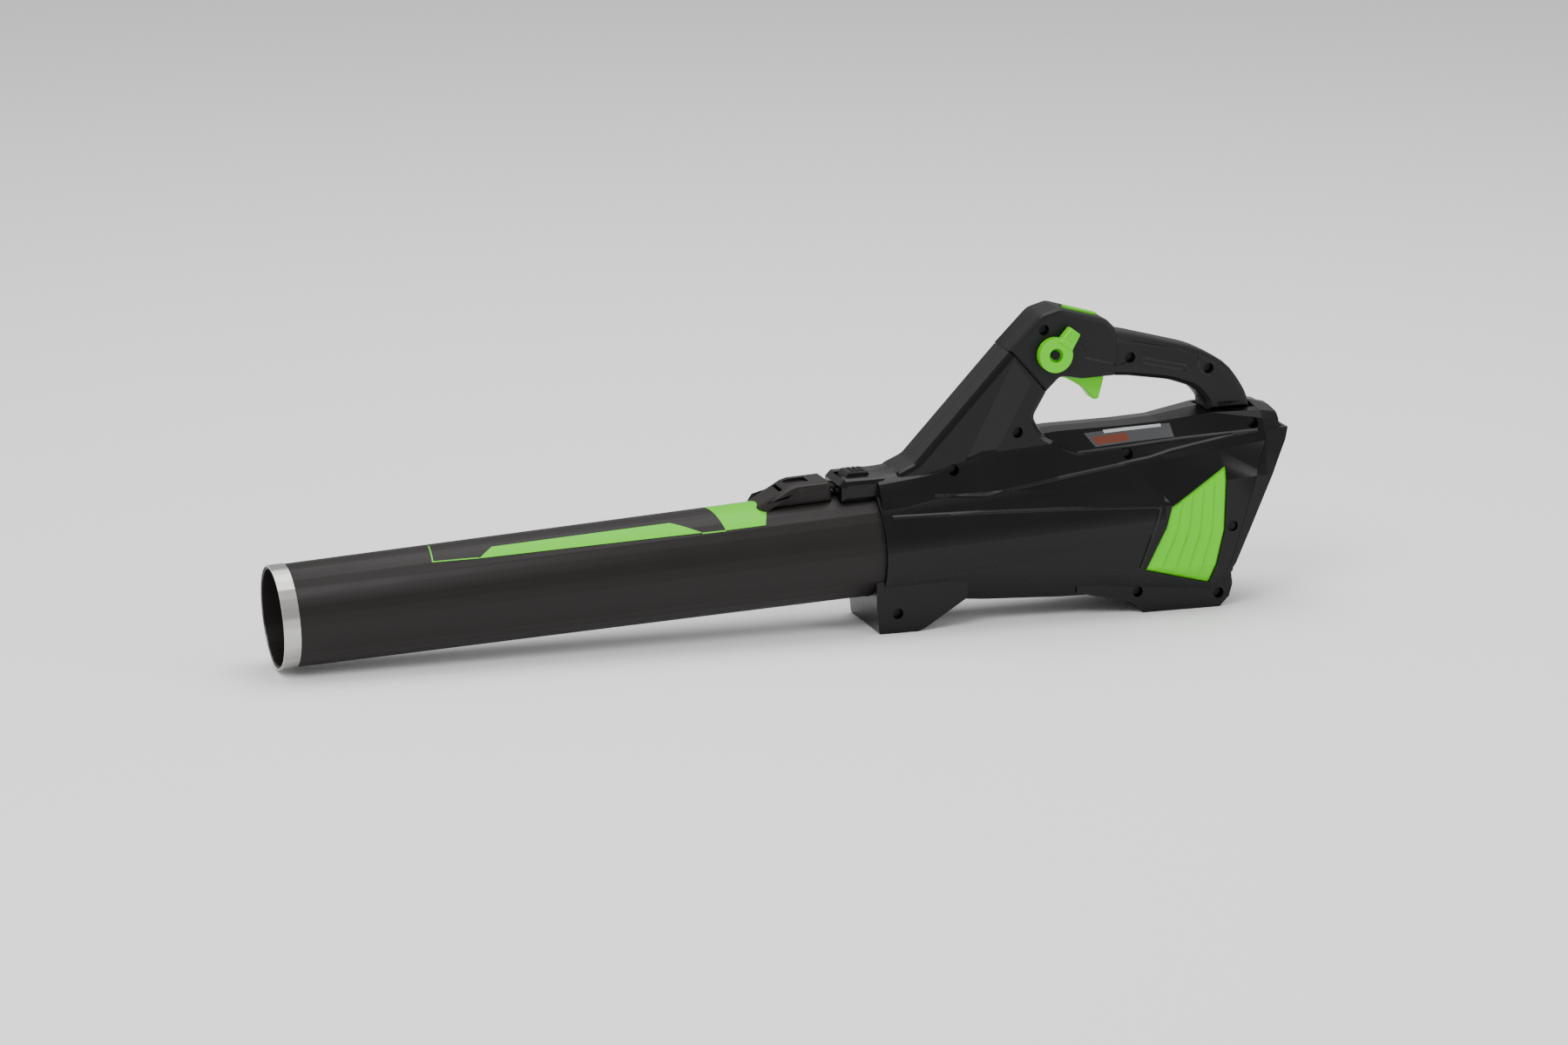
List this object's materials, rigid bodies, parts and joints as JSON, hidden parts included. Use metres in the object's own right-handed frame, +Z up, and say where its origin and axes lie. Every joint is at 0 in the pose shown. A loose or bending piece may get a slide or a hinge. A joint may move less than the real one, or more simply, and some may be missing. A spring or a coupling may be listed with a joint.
{
  "type": "leaf blower",
  "caption": "Cordless axial leaf blower with a long tapered nozzle tube, raised handle, finger trigger, speed lever and side intake grilles.",
  "frame": {"origin": "centre of the bounding box's bottom face, on the floor under the two feet", "axes": "+X from the nozzle's mouth to the battery end, +Y to the tool's right side, +Z up"},
  "size_m": [0.9119, 0.112, 0.2749],
  "materials": {
    "casing_gloss": "moulded, semi-gloss black",
    "handle_matte": "fine spark texture, charcoal",
    "tube_matte": "matte, brown-black",
    "green_plastic": "moulded, lime green",
    "inner_plastic": "moulded, dark grey",
    "bright_steel": "brushed, scratched",
    "spring_steel": "ground",
    "screw_steel": "black oxide",
    "motor_steel": "rolled",
    "aluminium": "extruded",
    "contact_brass": "stamped",
    "circuit_board": "solder mask",
    "rubber": "matte",
    "wire_sleeve": "red sleeve"
  },
  "bodies": {
    "casing": {"casing_left": "casing_gloss", "casing_right": "casing_gloss", "rear_cover": "casing_gloss", "handle_left": "handle_matte", "handle_right": "handle_matte", "intake_grille_left": "green_plastic", "intake_grille_right": "green_plastic", "fan_duct": "inner_plastic", "tail_cone": "inner_plastic", "inlet_bell": "inner_plastic", "isolator_ring": "rubber", "motor_can": "motor_steel", "motor_rear_bearing": "spring_steel", "motor_front_bearing": "spring_steel", "terminal_block": "inner_plastic", "contact_blade_left": "contact_brass", "contact_blade_right": "contact_brass", "switch_body": "inner_plastic", "speed_sensor": "inner_plastic", "turbo_switch": "inner_plastic", "trigger_pin": "spring_steel", "trigger_spring": "spring_steel", "turbo_spring": "spring_steel", "latch_spring": "spring_steel", "controller_board": "circuit_board", "heat_sink": "aluminium", "motor_lead": "wire_sleeve", "switch_lead": "wire_sleeve", "pillar_screw_lower": "screw_steel", "pillar_screw_upper": "screw_steel", "deck_screw": "screw_steel", "rear_top_screw": "screw_steel", "front_foot_screw": "screw_steel", "rear_foot_screw_front": "screw_steel", "rear_foot_screw_rear": "screw_steel", "rear_screw_left": "screw_steel", "rear_screw_right": "screw_steel", "head_screw": "screw_steel", "grip_screw_front": "screw_steel", "grip_screw_rear": "screw_steel"},
    "tube": {"blow_tube": "tube_matte", "scraper_ring": "bright_steel"},
    "fan_rotor": {"motor_shaft": "spring_steel", "fan_impeller": "inner_plastic", "fan_spinner": "inner_plastic"},
    "trigger": {"trigger": "green_plastic"},
    "switch_plunger": {"switch_plunger": "green_plastic"},
    "speed_lever": {"speed_lever": "green_plastic", "lever_screw": "screw_steel", "lever_cam": "inner_plastic"},
    "turbo_button": {"turbo_button": "green_plastic"},
    "latch": {"latch_button": "handle_matte", "latch_catch": "handle_matte"}
  },
  "joints": [
    {"name": "tube_slide", "type": "slide", "parent": "casing", "child": "tube", "axis": [-0.9988, 0, -0.0499], "range_m": [0, 0.06], "deforming": ["latch_catch"]},
    {"name": "fan_spin", "type": "hinge", "parent": "casing", "child": "fan_rotor", "pos_m": [-0.45288, 0, 0.0483], "axis": [0.9988, 0, 0.0499], "continuous": true},
    {"name": "trigger_pivot", "type": "hinge", "parent": "casing", "child": "trigger", "pos_m": [0.24912, 0, 0.224], "axis": [0, -1, 0], "range_deg": [0, 12], "stiffness_Nm_per_rad": 0.8, "springref_deg": -8.59, "deforming": ["trigger_spring"]},
    {"name": "plunger_slide", "type": "slide", "parent": "casing", "child": "switch_plunger", "axis": [0, 0, 1], "range_m": [0, 0.0042]},
    {"name": "speed_lever_turn", "type": "hinge", "parent": "casing", "child": "speed_lever", "pos_m": [0.24082, -0.03, 0.2358], "axis": [0, -1, 0], "range_deg": [0, 75]},
    {"name": "turbo_press", "type": "slide", "parent": "casing", "child": "turbo_button", "axis": [-0.2672, 0, -0.9636], "range_m": [0, 0.0025], "stiffness_N_per_m": 800, "springref_m": -0.002, "deforming": ["turbo_spring"]},
    {"name": "latch_press", "type": "slide", "parent": "casing", "child": "latch", "axis": [0, 0, -1], "range_m": [0, 0.0025], "stiffness_N_per_m": 2000, "springref_m": -0.001, "deforming": ["latch_spring"]}
  ],
  "couplings": [
    {"joint": "plunger_slide", "follows": "trigger_pivot", "m_per_rad": 0.0195}
  ]
}
